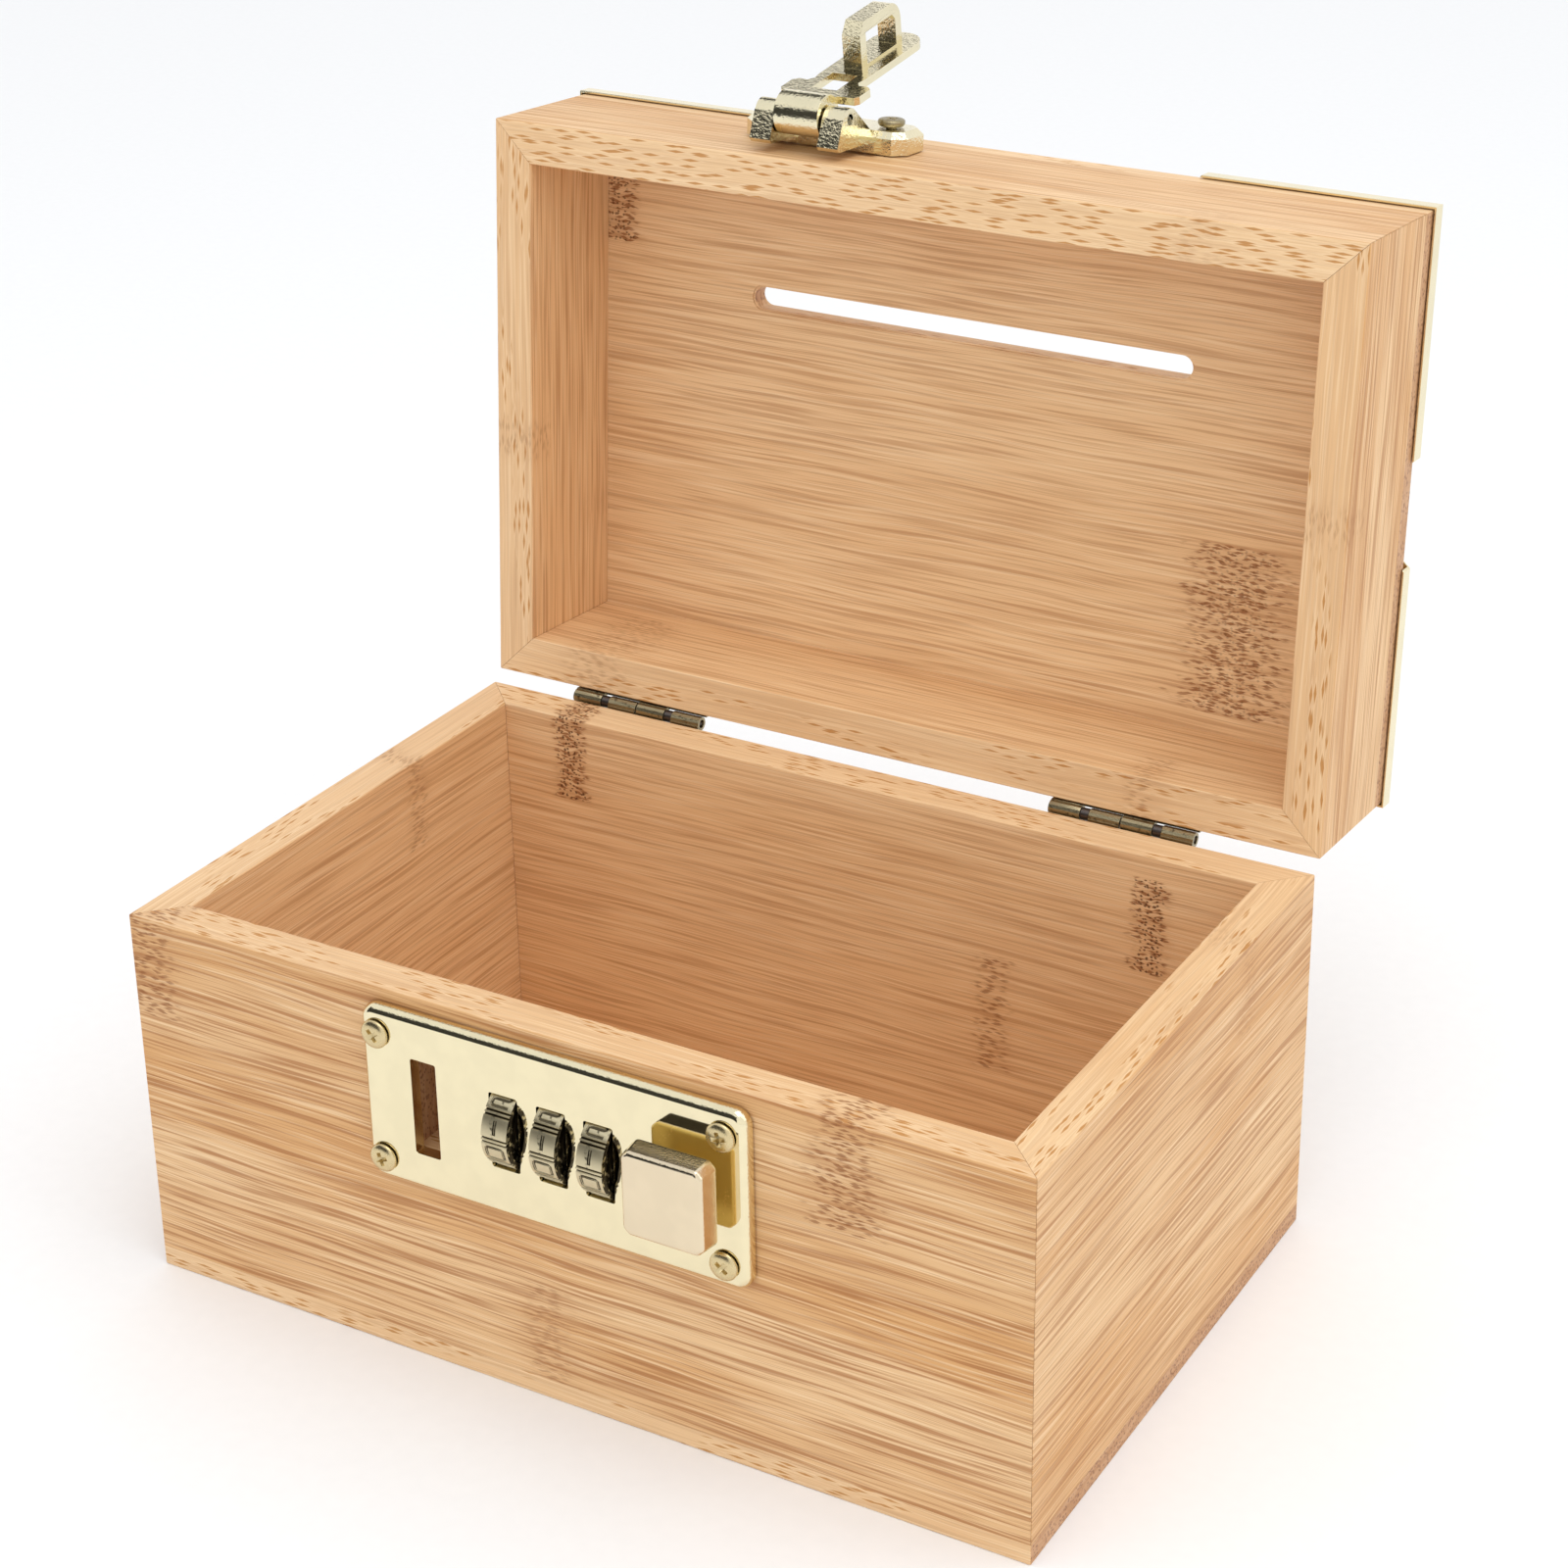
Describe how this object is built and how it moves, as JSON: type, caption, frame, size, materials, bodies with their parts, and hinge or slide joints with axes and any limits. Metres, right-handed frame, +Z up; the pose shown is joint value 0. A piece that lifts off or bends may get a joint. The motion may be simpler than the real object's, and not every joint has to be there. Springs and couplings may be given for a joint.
{
  "type": "wooden money box",
  "caption": "Bamboo money box with a coin slot in its hinged lid, a swinging hasp and a number-wheel lock on the front.",
  "frame": {"origin": "centre of the base's underside, on the surface the box stands on", "axes": "+X to the right seen from the front, the front face towards -Y, +Z up; the rest pose has the lid standing open"},
  "size_m": [0.2016, 0.2015, 0.235],
  "materials": {
    "bamboo": "honey bamboo board, fine straight grain, dark flecked nodes, satin lacquer",
    "gilt": "polished pale gold plating over cast zinc",
    "antique_brass": "antique brass, dark in the grooves and rubbed bright on the lands",
    "antique_bronze": "antique bronze, brushed, dark",
    "zinc": "bright zinc casting",
    "steel": "zinc-plated steel"
  },
  "bodies": {
    "box": {"front_wall": "bamboo", "back_wall": "bamboo", "left_wall": "bamboo", "right_wall": "bamboo", "bottom_board": "bamboo", "left_hinge_box_leaf": "antique_bronze", "right_hinge_box_leaf": "antique_bronze", "left_hinge_pin": "antique_bronze", "right_hinge_pin": "antique_bronze", "box_hinge_screw_1": "antique_bronze", "box_hinge_screw_2": "antique_bronze", "box_hinge_screw_3": "antique_bronze", "box_hinge_screw_4": "antique_bronze", "lock_plate": "gilt", "plate_screw_1": "gilt", "plate_screw_2": "gilt", "plate_screw_3": "gilt", "plate_screw_4": "gilt", "lock_case": "zinc", "back_cover": "zinc", "cover_screw_1": "steel", "cover_screw_2": "steel", "detent_spring": "steel"},
    "lid": {"lid_front_wall": "bamboo", "lid_back_wall": "bamboo", "lid_left_wall": "bamboo", "lid_right_wall": "bamboo", "lid_top_board": "bamboo", "left_hinge_lid_leaf": "antique_bronze", "right_hinge_lid_leaf": "antique_bronze", "lid_hinge_screw_1": "antique_bronze", "lid_hinge_screw_2": "antique_bronze", "lid_hinge_screw_3": "antique_bronze", "lid_hinge_screw_4": "antique_bronze", "hasp_base": "gilt", "hasp_pin": "antique_bronze", "left_hasp_screw": "antique_bronze", "right_hasp_screw": "antique_bronze", "front_left_corner_plate": "gilt", "front_right_corner_plate": "gilt", "back_left_corner_plate": "gilt", "back_right_corner_plate": "gilt", "corner_nail_1": "gilt", "corner_nail_2": "gilt", "corner_nail_3": "gilt", "corner_nail_4": "gilt", "corner_nail_5": "gilt", "corner_nail_6": "gilt", "corner_nail_7": "gilt", "corner_nail_8": "gilt"},
    "hasp_leaf": {"hasp_leaf": "gilt"},
    "lock_slider": {"lock_bolt": "zinc", "lock_knob": "gilt", "knob_screw": "steel"},
    "wheel_1": {"number_wheel_1": "antique_brass", "code_sleeve_1": "zinc"},
    "wheel_2": {"number_wheel_2": "antique_brass", "code_sleeve_2": "zinc"},
    "wheel_3": {"number_wheel_3": "antique_brass", "code_sleeve_3": "zinc"}
  },
  "joints": [
    {"name": "lid_hinge", "type": "hinge", "parent": "box", "child": "lid", "pos_m": [0, 0.06545, 0.08235], "axis": [1, 0, 0], "range_deg": [0, 94.18]},
    {"name": "hasp_hinge", "type": "hinge", "parent": "lid", "child": "hasp_leaf", "pos_m": [-0.0276, 0.08342, 0.2184], "axis": [1, 0, 0], "range_deg": [0, 169]},
    {"name": "lock_slide", "type": "slide", "parent": "box", "child": "lock_slider", "axis": [1, 0, 0], "range_m": [-0.0055, 0]},
    {"name": "wheel_1_spin", "type": "hinge", "parent": "box", "child": "wheel_1", "pos_m": [-0.0093, -0.06095, 0.06025], "axis": [1, 0, 0], "continuous": true},
    {"name": "wheel_2_spin", "type": "hinge", "parent": "box", "child": "wheel_2", "pos_m": [0.0014, -0.06095, 0.06025], "axis": [1, 0, 0], "continuous": true},
    {"name": "wheel_3_spin", "type": "hinge", "parent": "box", "child": "wheel_3", "pos_m": [0.01185, -0.06095, 0.06025], "axis": [1, 0, 0], "continuous": true}
  ]
}
